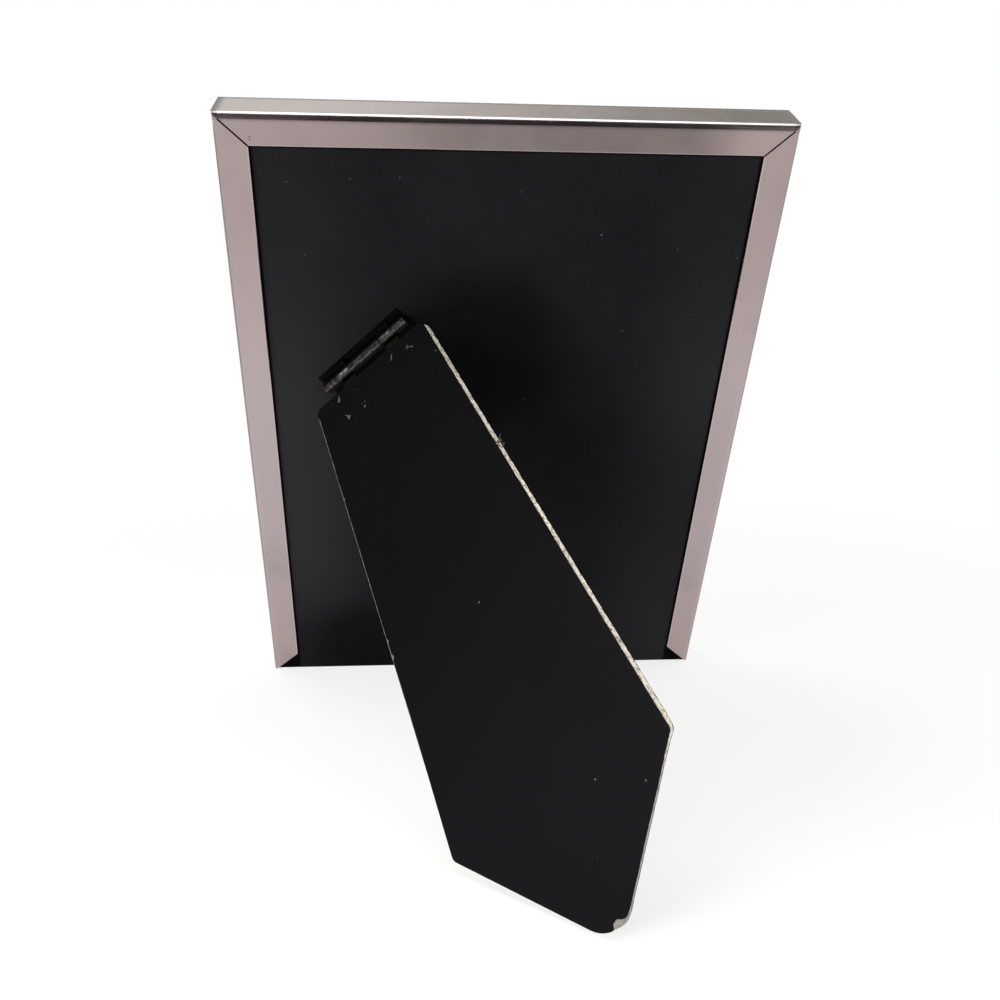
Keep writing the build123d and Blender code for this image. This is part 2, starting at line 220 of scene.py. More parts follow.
LEAST_GLOW = 0.74
LIGHT_ALL_ROUND = 0.075

# Tones of the nickel plating, with those of its painted light and shade
WALL_GREY = colour(0.45, 0.413, 0.402)
FLANGE_PINK = colour(0.385, 0.303, 0.305)
RUBBED_NICKEL = colour(0.52, 0.45, 0.455)
DULL_AND_SHADED_NICKEL = colour(0.09, 0.08, 0.075)
SMUDGED_NICKEL = colour(0.16, 0.13, 0.125)
PAINTED_RIM_LIGHT = colour(0.62, 0.54, 0.54)
PAINTED_SHADE_NICKEL = colour(0.11, 0.105, 0.1)
NICKEL_PITS = colour(0.08, 0.065, 0.06)
NICKEL_GLOSS = colour(1.0, 0.96, 0.93)

# Tones of the black paper: the board's and the leg's own shade, shares of it, what lies on it, and its painted
# light and shadow
BOARD_SHADE = 0.0066
LEG_SHADE = 0.0017
SCUFFED_DARK = (0.84, 0.86, 0.92)
SCUFFED_PALE = (1.12, 1.13, 1.2)
PALE_GRAIN_AND_LIGHT = (2.6, 2.6, 2.9)
PAPER_DUST = colour(0.05, 0.05, 0.052)
PAPER_SPECK = colour(0.08, 0.08, 0.08)
PAINTED_SHADOW_BLACK = colour(0.0012, 0.0011, 0.001)
PAPER_GLOSS = 0.012

# Tones of the cut fibreboard, and of the loose fibres with their stained tuft
CREAM = colour(0.76, 0.69, 0.56)
GREYED_CREAM = colour(0.66, 0.62, 0.56)
FIBRE_FLECK = colour(0.27, 0.24, 0.2)
FIBRE_STREAK = colour(0.16, 0.13, 0.1)
GRIME_LEFT = colour(0.055, 0.056, 0.06)
GRIME_RIGHT = colour(0.155, 0.145, 0.126)
LOOSE_PALE = colour(0.66, 0.6, 0.5)
LOOSE_DARK = colour(0.4, 0.36, 0.29)
TUFT_PALE = colour(0.17, 0.16, 0.1)
TUFT_DARK = colour(0.075, 0.07, 0.04)

# Tones of the hinge's steel, with the painted shade of its barrel, and of its prongs
LACQUER = colour(0.0025, 0.0025, 0.0023)
BROWN_STEEL = colour(0.024, 0.022, 0.018)
BROWN_LACQUER = colour(0.005, 0.0047, 0.004)
SHADED_STEEL = colour(0.004, 0.0038, 0.0034)
BARE_STEEL = colour(0.1, 0.0955, 0.09)
PRONG_BLACK = colour(0.02, 0.019, 0.017)
PRONG_GREY = colour(0.075, 0.071, 0.066)

# Brushed grain of the rails, as how close its lines lie across, up and rearward
BRUSHED_ACROSS = (40, 5200, 5200)
BRUSHED_UP = (5200, 40, 5200)


class Finish:
    """A procedural material, with short ways to add its nodes."""

    def __init__(self, name, roughness=None, metallic=0.0, specular=0.5):
        """A finish whose roughness varies gives it later, by nodes."""
        self.material = bpy.data.materials.new(name)
        self.material.use_nodes = True
        self.nodes = self.material.node_tree.nodes
        self.links = self.material.node_tree.links
        self.shader = self.nodes["Principled BSDF"]
        self.set("Metallic", metallic)
        self.set("Specular IOR Level", specular)
        if roughness is not None:
            self.set("Roughness", roughness)

    def set(self, socket, value):
        """A constant on the shader's own socket, or a link into it."""
        self.feed(self.shader.inputs[socket], value)

    def feed(self, socket, value):
        """A constant on any node's socket, or a link into it."""
        if isinstance(value, bpy.types.NodeSocket):
            self.links.new(value, socket)
        else:
            socket.default_value = value

    def where(self, home=None, stretch=(1, 1, 1)):
        """Object coordinates in the directions of a place, stretched along each of them."""
        home = home or Matrix.Identity(4)
        coords = self.nodes.new("ShaderNodeTexCoord").outputs["Object"]
        local = self.nodes.new("ShaderNodeMapping")
        back = home.inverted()
        local.inputs["Rotation"].default_value = back.to_euler("XYZ")
        local.inputs["Location"].default_value = back.to_translation()
        self.links.new(coords, local.inputs["Vector"])
        scaled = self.nodes.new("ShaderNodeMapping")
        scaled.inputs["Scale"].default_value = stretch
        self.links.new(local.outputs["Vector"], scaled.inputs["Vector"])
        return scaled.outputs["Vector"]

    def axis(self, at, name):
        """One coordinate of a point."""
        split = self.nodes.new("ShaderNodeSeparateXYZ")
        self.links.new(at, split.inputs["Vector"])
        return split.outputs[name]

    def noise(self, at, scale, detail=3.0, roughness=0.55):
        """Cloudy noise from 0 to 1."""
        texture = self.nodes.new("ShaderNodeTexNoise")
        texture.inputs["Scale"].default_value = scale
        texture.inputs["Detail"].default_value = detail
        texture.inputs["Roughness"].default_value = roughness
        self.links.new(at, texture.inputs["Vector"])
        return texture.outputs["Fac"]

    def specks(self, at, scale, size, share):
        """Small round specks in a share of the cells of a grid of that scale."""
        cells = self.nodes.new("ShaderNodeTexVoronoi")
        cells.inputs["Scale"].default_value = scale
        self.links.new(at, cells.inputs["Vector"])
        inside = self.span(cells.outputs["Distance"], size * 1.5, size * 0.7)
        pick = self.nodes.new("ShaderNodeSeparateColor")
        self.links.new(cells.outputs["Color"], pick.inputs["Color"])
        chosen = self.span(pick.outputs["Red"], 1.0 - share, 1.0 - share * 0.6)
        return self.times(inside, chosen)

    def spots(self, at, marks, level):
        """Round spots at given places of a flat face."""
        total = 0.0
        for x, y, radius in marks:
            apart = self.nodes.new("ShaderNodeVectorMath")
            apart.operation = "DISTANCE"
            apart.inputs[1].default_value = (x, y, level)
            self.links.new(at, apart.inputs[0])
            inside = self.span(apart.outputs["Value"], radius * 1.3, radius * 0.5)
            total = self.larger(total, inside)
        return total

    def math(self, operation, first, second=0.0):
        """A sum on one or two values."""
        node = self.nodes.new("ShaderNodeMath")
        node.operation = operation
        self.feed(node.inputs[0], first)
        self.feed(node.inputs[1], second)
        return node.outputs["Value"]

    def times(self, first, second):
        return self.math("MULTIPLY", first, second)

    def larger(self, first, second):
        return self.math("MAXIMUM", first, second)

    def span(self, value, low, high, out_low=0.0, out_high=1.0):
        """A value carried smoothly from one span to another."""
        node = self.nodes.new("ShaderNodeMapRange")
        node.interpolation_type = "SMOOTHSTEP"
        for socket, number in zip(node.inputs[1:5], (low, high, out_low, out_high)):
            socket.default_value = number
        self.links.new(value, node.inputs["Value"])
        return node.outputs["Result"]

    def mix(self, factor, first, second):
        """One colour over another."""
        node = self.nodes.new("ShaderNodeMix")
        node.data_type = "RGBA"
        colours = [socket for socket in node.inputs if socket.type == "RGBA"]
        self.feed(node.inputs[0], factor)
        self.feed(colours[0], first)
        self.feed(colours[1], second)
        return next(socket for socket in node.outputs if socket.type == "RGBA")

    def bump(self, height, strength, distance, over=None):
        """Small relief on the surface, on top of another relief if one is given."""
        node = self.nodes.new("ShaderNodeBump")
        node.inputs["Strength"].default_value = strength
        node.inputs["Distance"].default_value = distance
        self.links.new(height, node.inputs["Height"])
        if over:
            self.links.new(over, node.inputs["Normal"])
        self.set("Normal", node.outputs["Normal"])
        return node.outputs["Normal"]

    def give_way(self, factor, other):
        """The shader gives way to another one by a factor."""
        node = self.nodes.new("ShaderNodeMixShader")
        self.links.new(factor, node.inputs[0])
        self.links.new(self.shader.outputs["BSDF"], node.inputs[1])
        self.links.new(other, node.inputs[2])
        self.links.new(node.outputs["Shader"], self.nodes["Material Output"].inputs["Surface"])


def tarnish_and_painted_shade(finish, at, flange):
    """How dull the plating is, as tarnish on the flange and as painted shade of its reflection on the walls: more
    towards the right, less on the rear bend.
    """
    across = finish.axis(at, "X")
    on_flange = finish.times(finish.span(across, *FLANGE_DULLS), finish.span(across, *FLANGE_CLEARS))
    on_wall = finish.span(across, *WALL_PAINTED_SHADE, 0.0, 1.55)
    off_bend = finish.span(finish.axis(at, "Z"), FLANGE_Z - 0.7 * MM, FLANGE_Z - 1.7 * MM, 0.3, 1.0)
    return finish.mix(flange, finish.times(on_wall, off_bend), on_flange)


def painted_bend_shade(finish, at, flange, below_top, inside_wall):
    """How much painted shade there is in the outer corners and along the side walls' rear bend."""
    in_corner = finish.times(finish.span(inside_wall, *CORNER_PAINTED_SHADE), finish.span(below_top, *CORNER_PAINTED_SHADE))
    along_bend = finish.span(finish.axis(at, "Z"), FLANGE_Z - 2.2 * MM, FLANGE_Z - 1.4 * MM)
    along_bend = finish.times(along_bend, finish.span(flange, 1.0, 0.0))
    along_bend = finish.times(along_bend, finish.span(below_top, -2 * MM, -5 * MM))
    return finish.larger(finish.times(in_corner, 0.9), finish.times(along_bend, 0.7))


def satin_nickel(name, grain, dulled):
    """Plated sheet: pinkish on the flat flange, grey on the bends and sides, dulled towards the right by tarnish
    on the flange and painted shade on the walls, with a painted reflection along the flange's inner rim and
    painted shade in the corners and along the side bends.
    """
    finish = Finish(name, metallic=1.0)
    finish.set("Specular Tint", NICKEL_GLOSS)
    at = finish.where(BOARD_PLACE)
    across, upward, rearward = (finish.axis(at, letter) for letter in "XYZ")
    below_top = finish.math("SUBTRACT", upward, RAIL_TOP)
    inside_wall = finish.math("SUBTRACT", finish.math("ABSOLUTE", across), RAIL_SIDE)
    edge = finish.larger(below_top, inside_wall)
    flange = finish.span(rearward, FLANGE_Z - 0.5 * MM, FLANGE_Z - 0.05 * MM)
    smudge = finish.noise(at, 38, detail=4)
    lines = finish.noise(finish.where(BOARD_PLACE, grain), 1, detail=3)
    tint = finish.mix(flange, WALL_GREY, FLANGE_PINK)
    gripped = finish.times(finish.span(upward, *GRIP_FROM_BELOW), finish.span(upward, *GRIP_FROM_ABOVE))
    tint = finish.mix(finish.times(gripped, 0.45), tint, RUBBED_NICKEL)
    cloudy = finish.span(smudge, 0.3, 0.7, 0.75 * dulled, dulled)
    # Tarnish on the flange, painted shade of the reflection on the walls
    tint = finish.mix(finish.times(tarnish_and_painted_shade(finish, at, flange), cloudy), tint, DULL_AND_SHADED_NICKEL)
    tint = finish.mix(finish.span(smudge, 0.52, 0.74, 0.0, 0.16), tint, SMUDGED_NICKEL)
    # Painted reflection: a lighter line along the flange's inner rim
    rim = finish.span(edge, 0.45 * MM - FLANGE_WIDTH, 0.1 * MM - FLANGE_WIDTH, 0.0, 0.5)
    tint = finish.mix(finish.times(rim, flange), tint, PAINTED_RIM_LIGHT)
    # Painted shade in the outer corners and along the side bends
    tint = finish.mix(painted_bend_shade(finish, at, flange, below_top, inside_wall), tint, PAINTED_SHADE_NICKEL)
    pits = finish.specks(at, 150, 0.05, 0.05)
    marks = finish.larger(pits, finish.spots(at, RAIL_MARKS, FLANGE_Z))
    finish.set("Base Color", finish.mix(marks, tint, NICKEL_PITS))
    worn = finish.span(smudge, 0.25, 0.75, 0.2, 0.28)
    finish.set("Roughness", finish.math("ADD", worn, finish.span(lines, 0.2, 0.8, -0.02, 0.02)))
    back_bend = finish.span(edge, -2.3 * MM, -0.8 * MM, 1.0, 0.0)
    front_bend = finish.span(rearward, RAIL_FRONT_Z + 0.8 * MM, RAIL_FRONT_Z + 2.8 * MM, 0.0, 1.0)
    rolled = finish.bump(finish.math("ADD", back_bend, front_bend), 1.0, 0.3 * MM)
    finish.bump(lines, 0.04, 0.02 * MM, rolled)
    return finish.material


def black_paper(name, home, shade, level, specks, painted_light_mask, darker=None):
    """Black covering paper with a fine pressed grain, scuffed a little grey, with specks of dust, painted light
    from one mask and painted shadow from another.
    """
    finish = Finish(name, specular=PAPER_GLOSS)
    at = finish.where(home)
    scuff = finish.noise(at, 42, detail=5, roughness=0.6)
    grain = finish.noise(at, 1900, detail=3, roughness=0.65)
    dark = colour(*(shade * part for part in SCUFFED_DARK))
    pale = colour(*(shade * part for part in SCUFFED_PALE))
    # The pale tone serves the paper's grain and also its painted light
    rubbed = colour(*(shade * part for part in PALE_GRAIN_AND_LIGHT))
    ground = finish.mix(finish.span(scuff, 0.3, 0.7), dark, pale)
    ground = finish.mix(painted_light_mask(finish, at), ground, rubbed)
    ground = finish.mix(finish.span(grain, 0.45, 0.8, 0.0, 0.35), ground, rubbed)
    dusty = finish.mix(finish.specks(at, 330, 0.05, 0.035), ground, PAPER_DUST)
    # Painted shadow: near black where the darker mask says so
    if darker:
        dusty = finish.mix(darker(finish, at), dusty, PAINTED_SHADOW_BLACK)
    finish.set("Base Color", finish.mix(finish.spots(at, specks, level), dusty, PAPER_SPECK))
    finish.set("Roughness", finish.span(scuff, 0.25, 0.75, 0.4, 0.5))
    finish.bump(grain, 0.15, 0.03 * MM)
    return finish.material


def painted_light_to_foot(finish, at):
    """Painted light: the leg's paper is lighter towards the foot."""
    return finish.span(finish.axis(at, "Y"), -55 * MM, -130 * MM)


def foot_edge(finish, at):
    """The cut edge of the foot is greyer."""
    return finish.span(finish.axis(at, "Y"), SHOULDER_Y + 1 * MM, SHOULDER_Y - 8 * MM, 0.0, 0.7)


def board_edge(finish, at):
    """The board's cut edge is a little greyer towards the left."""
    return finish.span(finish.axis(at, "X"), 50 * MM, -50 * MM, 0.15, 0.3)


def painted_light_on_sides(finish, at):
    """Painted light on the board's paper: lighter towards its sides, most from the middle down, not at its low
    left.
    """
    across, upward = finish.axis(at, "X"), finish.axis(at, "Y")
    side = finish.span(finish.math("ABSOLUTE", across), 25 * MM, 58 * MM)
    side = finish.times(side, finish.span(across, -40 * MM, 40 * MM, 1.0, 0.8))
    off_corner = finish.larger(finish.span(upward, 2 * MM, 50 * MM), finish.span(across, -30 * MM, 30 * MM))
    lower = finish.span(upward, 165 * MM, 95 * MM, 0.2, 1.0)
    return finish.times(finish.times(side, off_corner), lower)


def painted_board_shadows(finish, at):
    """Painted shadow on the board: a dark line along the flanges that hold it, and deeper black in places near the
    leg.
    """
    from_middle = finish.math("ABSOLUTE", finish.axis(at, "X"))
    beside = finish.math("SUBTRACT", from_middle, RAIL_SIDE - FLANGE_WIDTH)
    below = finish.math("SUBTRACT", finish.axis(at, "Y"), RAIL_TOP - FLANGE_WIDTH)
    line = finish.span(finish.larger(beside, below), -0.8 * MM, -0.15 * MM)
    return finish.larger(line, finish.times(finish.spots(at, PAINTED_SHADOW_SPOTS, 0.0), 0.6))


def cream_fibreboard(name, home, rear_z, greyed):
    """Raw cut fibreboard: pale, with darker flecks and fibres, grimy at its rear and where it is greyed."""
    finish = Finish(name, roughness=0.9, specular=0.12)
    at = finish.where(home)
    fibres = finish.noise(finish.where(home, (900, 900, 2600)), 1, detail=4)
    flecks = finish.noise(at, 1100, detail=3, roughness=0.7)
    stain = finish.noise(at, 70, detail=3)
    pale = finish.mix(finish.span(stain, 0.35, 0.65), CREAM, GREYED_CREAM)
    soiled = finish.mix(finish.span(flecks, 0.5, 0.6), pale, FIBRE_FLECK)
    streaked = finish.mix(finish.span(fibres, 0.52, 0.7), soiled, FIBRE_STREAK)
    rubbed = finish.span(finish.axis(at, "Z"), rear_z - 0.15 * MM, rear_z - 0.03 * MM, 0.0, 0.92)
    grime = finish.mix(finish.span(finish.axis(at, "X"), -14 * MM, -8 * MM), GRIME_LEFT, GRIME_RIGHT)
    finish.set("Base Color", finish.mix(finish.larger(rubbed, greyed(finish, at)), streaked, grime))
    finish.bump(fibres, 0.7, 0.12 * MM)
    return finish.material


def loose_fibre(name):
    """Loose fibres: pale as the cut edge they come from, but a dull olive brown in the large tuft."""
    finish = Finish(name, roughness=0.9, specular=0.12)
    at = finish.where(LEG_PLACE)
    flecks = finish.noise(at, 1100, detail=3, roughness=0.7)
    pale = finish.mix(finish.span(flecks, 0.4, 0.6), LOOSE_PALE, LOOSE_DARK)
    brown = finish.mix(finish.span(flecks, 0.35, 0.65), TUFT_DARK, TUFT_PALE)
    x, y, _, length = TORN_FIBRES[0]
    tuft = finish.spots(at, [(x, y, 2 * length)], CORE_FRONT_Z + LEG_CORE / 2)
    finish.set("Base Color", finish.mix(tuft, pale, brown))
    return finish.material


def hinge_steel(name):
    """Black lacquered steel. Its rolled barrel is rubbed to brown metal, brightest low and at two places, with
    painted shade on its upper side.
    """
    finish = Finish(name, metallic=0.85, specular=0.1)
    at = finish.where(LEG_PLACE)
    along, up, out = (finish.axis(at, letter) for letter in "XYZ")
    squares = finish.math("ADD", finish.math("POWER", up, 2.0), finish.math("POWER", out, 2.0))
    from_pin = finish.math("SQRT", squares)
    barrel = finish.span(from_pin, KNUCKLE_RADIUS + 0.16 * MM, KNUCKLE_RADIUS + 0.04 * MM)
    patches = finish.noise(at, 900, detail=5, roughness=0.65)
    brown = finish.mix(finish.span(patches, 0.38, 0.66), BROWN_LACQUER, BROWN_STEEL)
    # Painted shade on the barrel's upper and inner side
    shaded = finish.larger(finish.span(up, -0.9 * MM, 0.3 * MM), finish.span(out, 0.7 * MM, 0.2 * MM))
    brown = finish.mix(shaded, brown, SHADED_STEEL)
    bare = finish.span(up, -0.75 * MM, -1.05 * MM)
    low = finish.span(up, 0.1 * MM, -0.6 * MM)
    for middle, share in WORN_KNUCKLES:
        apart = finish.math("ABSOLUTE", finish.math("SUBTRACT", along, middle))
        worn = finish.times(finish.span(apart, *WORN_LENGTH, 0.0, share), low)
        bare = finish.larger(bare, worn)
    bare = finish.times(bare, finish.span(out, 0.4 * MM, 0.9 * MM))
    bare = finish.times(bare, finish.span(patches, 0.38, 0.62, 0.2, 1.0))
    rubbed = finish.mix(bare, brown, BARE_STEEL)
    finish.set("Base Color", finish.mix(barrel, LACQUER, rubbed))
    finish.set("Roughness", finish.span(patches, 0.3, 0.8, 0.52, 0.38))
    finish.bump(patches, 0.3, 0.05 * MM)
    return finish.material


def prong_steel(name):
    """Dull points of steel, part black and part rubbed."""
    finish = Finish(name, roughness=0.5, metallic=0.8, specular=0.2)
    patches = finish.noise(finish.where(LEG_PLACE), 1300, detail=3)
    finish.set("Base Color", finish.mix(finish.span(patches, 0.4, 0.65), PRONG_BLACK, PRONG_GREY))
    finish.bump(patches, 0.4, 0.05 * MM)
    return finish.material


def tinned_steel(name):
    """Dull tinned steel with a cloudy spangle."""
    finish = Finish(name, metallic=1.0)
    spangle = finish.noise(finish.where(BOARD_PLACE), 260, detail=3)
    bright = finish.mix(finish.span(spangle, 0.35, 0.65), colour(0.44, 0.44, 0.43), colour(0.6, 0.6, 0.58))
    finish.set("Base Color", bright)
    finish.set("Roughness", finish.span(spangle, 0.3, 0.7, 0.36, 0.55))
    return finish.material


def clear_glass(name):
    """Clear glass with faint smears."""
    finish = Finish(name)
    finish.set("Base Color", colour(0.99, 0.995, 0.99))
    finish.set("Transmission Weight", 1.0)
    finish.set("IOR", 1.5)
    smear = finish.noise(finish.where(BOARD_PLACE), 30, detail=3)
    finish.set("Roughness", finish.span(smear, 0.5, 0.8, 0.0, 0.03))
    return finish.material


def plain_sheet(name, ground, fleck, scale, roughness):
    """Card, board or paper with short fibres of a second tone."""
    finish = Finish(name, roughness=roughness, specular=0.25)
    fibres = finish.noise(finish.where(BOARD_PLACE), scale, detail=5, roughness=0.65)
    finish.set("Base Color", finish.mix(finish.span(fibres, 0.45, 0.75), colour(*ground), colour(*fleck)))
    finish.bump(fibres, 0.2, 0.05 * MM)
    return finish.material


def blank_print(name):
    """A blank print: a white border round a plain pale field."""
    finish = Finish(name, specular=0.4)
    at = finish.where(BOARD_PLACE)
    side = reach("photo_print", RIGHT, BOARD_FACE) - PRINT_BORDER
    top = reach("photo_print", UP_BOARD, BOARD_FACE) - PRINT_BORDER
    low = PRINT_BORDER - reach("photo_print", -UP_BOARD, BOARD_FACE)
    across = finish.math("ABSOLUTE", finish.axis(at, "X"))
    upward = finish.axis(at, "Y")
    field = finish.span(across, side, side - BORDER_EDGE)
    field = finish.times(field, finish.span(upward, top, top - BORDER_EDGE))
    field = finish.times(field, finish.span(upward, low, low + BORDER_EDGE))
    paper = finish.noise(at, 500, detail=4)
    white = finish.mix(paper, colour(0.87, 0.85, 0.82), colour(0.83, 0.81, 0.78))
    shade = finish.noise(at, 12, detail=2)
    pale = finish.mix(shade, colour(0.60, 0.575, 0.545), colour(0.66, 0.635, 0.605))
    finish.set("Base Color", finish.mix(field, white, pale))
    finish.set("Roughness", finish.span(paper, 0.2, 0.8, 0.28, 0.36))
    return finish.material


def finish_nodes():
    """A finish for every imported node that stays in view."""
    hinge = hinge_steel("hinge_steel")
    nickel_up = satin_nickel("satin_nickel_up", BRUSHED_UP, 0.12)
    angle = tinned_steel("tinned_steel")
    finishes = {
        "top_rail": satin_nickel("satin_nickel_top", BRUSHED_ACROSS, 0.72),
        "bottom_rail": satin_nickel("satin_nickel_bottom", BRUSHED_ACROSS, 0.2),
        "left_rail": nickel_up,
        "right_rail": nickel_up,
        "glass_pane": clear_glass("clear_glass"),
        "photo_print": blank_print("blank_print"),
        "backing_card": plain_sheet("grey_card", (0.52, 0.50, 0.46), (0.36, 0.34, 0.31), 900, 0.85),
        "filler_pad": plain_sheet("filler_board", (0.50, 0.37, 0.24), (0.36, 0.25, 0.15), 700, 0.9),
        "board_rear_paper": black_paper(
            "black_board_paper", BOARD_PLACE, BOARD_SHADE, 0.0, BOARD_SPECKS, painted_light_on_sides, painted_board_shadows,
        ),
        "board_core": cream_fibreboard("board_fibre", BOARD_PLACE, 0.0, board_edge),
        "board_lining": plain_sheet("lining_paper", (0.66, 0.63, 0.56), (0.55, 0.52, 0.45), 800, 0.8),
        "hinge_board_leaf": hinge,
        "hinge_pin": hinge,
        "hinge_leg_leaf": hinge,
    }
    for corner in ("top_left", "top_right", "bottom_left", "bottom_right"):
        finishes["corner_angle_" + corner] = angle
    for node, material in finishes.items():
        frame["nodes"][node].material_slots[0].material = material


def as_object(name, shape, material):
    """A finished shape as an object of the scene."""
    mesh = bpy.data.meshes.new(name)
    shape.to_mesh(mesh)
    shape.free()
    mesh.materials.append(material)
    made = bpy.data.objects.new(name, mesh)
    bpy.context.scene.collection.objects.link(made)
    return made


def add_piece(name, shape, material, body, replaced=None):
    """Puts a shape made on the leg in its place and makes it ride on its body."""
    bmesh.ops.transform(shape, matrix=LEG_PLACE, verts=shape.verts)
    bmesh.ops.recalc_face_normals(shape, faces=shape.faces)
    piece = as_object(name, shape, material)
    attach(piece, body)
    if replaced:
        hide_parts(replaced)


def leg_face(shape):
    """The leg's outline as one face: five corners, rounded, with points close together along it."""
    corners = [
        (-LEG_TOP_WIDTH / 2, 0.0, LEG_TOP_RADIUS),
        (LEG_TOP_WIDTH / 2, 0.0, LEG_TOP_RADIUS),
        (LEG_FOOT_WIDTH / 2, LEG_SHOULDER, LEG_SHOULDER_RADIUS),
        (0.0, LEG_TIP, LEG_TIP_RADIUS),
        (-LEG_FOOT_WIDTH / 2, LEG_SHOULDER, LEG_SHOULDER_RADIUS),
    ]
    points = [shape.verts.new((x, -LEG_TOP_DROP - down, 0.0)) for x, down, _ in corners]
    shape.faces.new(points)
    tangents = []
    for i, point in enumerate(points):
        corner = (points[i - 1].co - point.co).angle(points[(i + 1) % len(points)].co - point.co)
        tangents.append(corners[i][2] / math.tan(corner / 2))
    for point, tangent in zip(points, tangents):
        bmesh.ops.bevel(
            shape, geom=[point], offset=tangent, offset_type="OFFSET", affect="VERTICES",
            segments=CORNER_SEGMENTS, profile=0.5, material=-1,
        )
    for edge in list(shape.edges):
        cuts = int(edge.calc_length() / EDGE_STEP)
        if cuts:
            bmesh.ops.subdivide_edges(shape, edges=[edge], cuts=cuts)
    shape.faces.ensure_lookup_table()
    return shape.faces[0]


def fray(face, inward):
    """Moves the points of an outline inwards by an amount that depends on where they are."""
    face.normal_update()
    points = [loop.vert for loop in face.loops]
    moves = []
    for i, point in enumerate(points):
        ahead = (points[(i + 1) % len(points)].co - points[i - 1].co).normalized()
        moves.append(face.normal.cross(ahead) * inward(point.co))
    for point, move in zip(points, moves):
        point.co += move


def lift(shape, face, height):
    """Raises a face by a height and returns it."""
    raised = bmesh.ops.extrude_face_region(shape, geom=[face])["geom"]
    face = next(item for item in raised if isinstance(item, bmesh.types.BMFace))
    bmesh.ops.translate(shape, verts=face.verts, vec=(0, 0, height))
    return face


def rough(point, scale, shift):
    """Roughness of an edge at a point, from about -1 to 1."""
    return noise.noise(Vector((point.x, point.y, shift)) * scale)


def tip_wear(point):
    """1 where the tip has been knocked bare, fading to 0 round the corner."""
    turn = math.atan2(point.x, TIP_CENTRE_Y - point.y)
    return ease(turn, *PATCH_START) * (1 - ease(turn, *PATCH_END))


def rear_wear(point):
    """How far the rear paper stands back from the cut edge: none along the top and the left of the foot."""
    uneven = 0.7 * rough(point, 1100, 0.3) + 0.9 * rough(point, 260, 0.7)
    if point.x > 0:
        setback = RIGHT_SETBACK if point.y > SHOULDER_Y else FOOT_SETBACK
        setback *= max(0.0, 1.0 + uneven) * ease(-point.y, LEG_TOP_DROP + 1 * MM, LEG_TOP_DROP + 5 * MM)
    else:
        setback = LEFT_SETBACK * ease(point.y, SHOULDER_Y, SHOULDER_Y + 30 * MM)
        setback *= (1.0 + 0.3 * uneven) * ease(-point.y, LEG_TOP_DROP + 0.5 * MM, LEG_TOP_DROP + 3 * MM)
        for middle, length, depth in EDGE_CHIPS:
            setback += depth * (1 - ease(abs(point.y - middle), 0.2 * length, 0.6 * length))
    bare = PATCH_DEPTH * tip_wear(point) * (1.0 + 0.55 * rough(point, 800, 0.1))
    return setback + bare


def undercut(point):
    """How far the slanted cut of the foot's right edge stands back at the leg's front face."""
    right = ease(point.x, 1 * MM, 5 * MM)
    foot = 1 - ease(point.y, SHOULDER_Y - 4 * MM, SHOULDER_Y + 4 * MM)
    return FOOT_UNDERCUT * (right * foot)


def front_wear(point):
    """How far the front paper stands back, which is little but for the slanted cut."""
    return FRONT_SETBACK * max(0.0, 1.0 + rough(point, 500, 0.9)) + undercut(point)


def core_wear(point, level):
    """How far the core's edge stands back at a layer: nubs on the right, a crushed rear rim at the tip."""
    share = level / FIBRE_LAYERS
    sawn = FIBRE_ROUGHNESS * (0.5 + 0.5 * rough(point, 1500, level * 0.37))
    nubs = FIBRE_NUBS * ease(point.x, 5 * MM, 12 * MM) * max(0.0, rough(point, 620, level * 0.11))
    return sawn + nubs + TIP_CRUSH * tip_wear(point) * share ** 3 + undercut(point) * (1 - share)


def leg_paper(name, low, wear, material, node):
    """One of the leg's two papers, worn back along its edge."""
    shape = bmesh.new()
    face = leg_face(shape)
    fray(face, wear)
    lift(shape, face, PAPER)
    bmesh.ops.translate(shape, verts=shape.verts, vec=(0, 0, low))
    add_piece(name, shape, material, "leg", node)


def leg_fibre(material):
    """The leg's core with a rough cut edge, made in layers."""
    shape = bmesh.new()
    face = leg_face(shape)
    fray(face, lambda point: core_wear(point, 0))
    for level in range(1, FIBRE_LAYERS + 1):
        face = lift(shape, face, LEG_CORE / FIBRE_LAYERS)
        fray(face, lambda point: core_wear(point, level) - core_wear(point, level - 1))
    bmesh.ops.translate(shape, verts=shape.verts, vec=(0, 0, CORE_FRONT_Z))
    add_piece("leg_core_cut", shape, material, "leg", "leg_core")


def prong_tips(material):
    """Points of the hinge's prongs, clinched over on the leg's rear paper."""
    shape = bmesh.new()
    flat = Matrix.Diagonal((1.0, 1.0, PRONG_FLATNESS, 1.0))
    lean = Matrix.Rotation(PRONG_LEAN, 4, "Y")
    for x, y, turn, length, width in PRONG_TIPS:
        made = bmesh.ops.create_cone(
            shape, cap_ends=True, segments=PRONG_SIDES,
            radius1=width, radius2=width * PRONG_POINT, depth=length,
        )["verts"]
        lying = Matrix.Rotation(turn, 4, "Z") @ flat @ lean
        bmesh.ops.transform(shape, matrix=Matrix.Translation((x, y, LEG_REAR_Z)) @ lying, verts=made)
    add_piece("prong_tips", shape, material, "leg")


def curled_fibre(shape, length, curl):
    """One loose fibre, drawn out step by step and thinned towards its end."""
    ring = bmesh.ops.create_circle(shape, cap_ends=True, segments=FIBRE_SIDES, radius=FIBRE_RADIUS)["verts"]
    face = ring[0].link_faces[0]
    points = list(ring)
    for step in range(FIBRE_STEPS):
        face = lift(shape, face, length / FIBRE_STEPS)
        middle = Matrix.Translation(-face.calc_center_median())
        bmesh.ops.scale(shape, vec=(FIBRE_TAPER, FIBRE_TAPER, 1.0), space=middle, verts=face.verts)
        bmesh.ops.translate(shape, verts=face.verts, vec=(curl * length * step / (2 * FIBRE_STEPS), 0, 0))
        points += face.verts
    return points


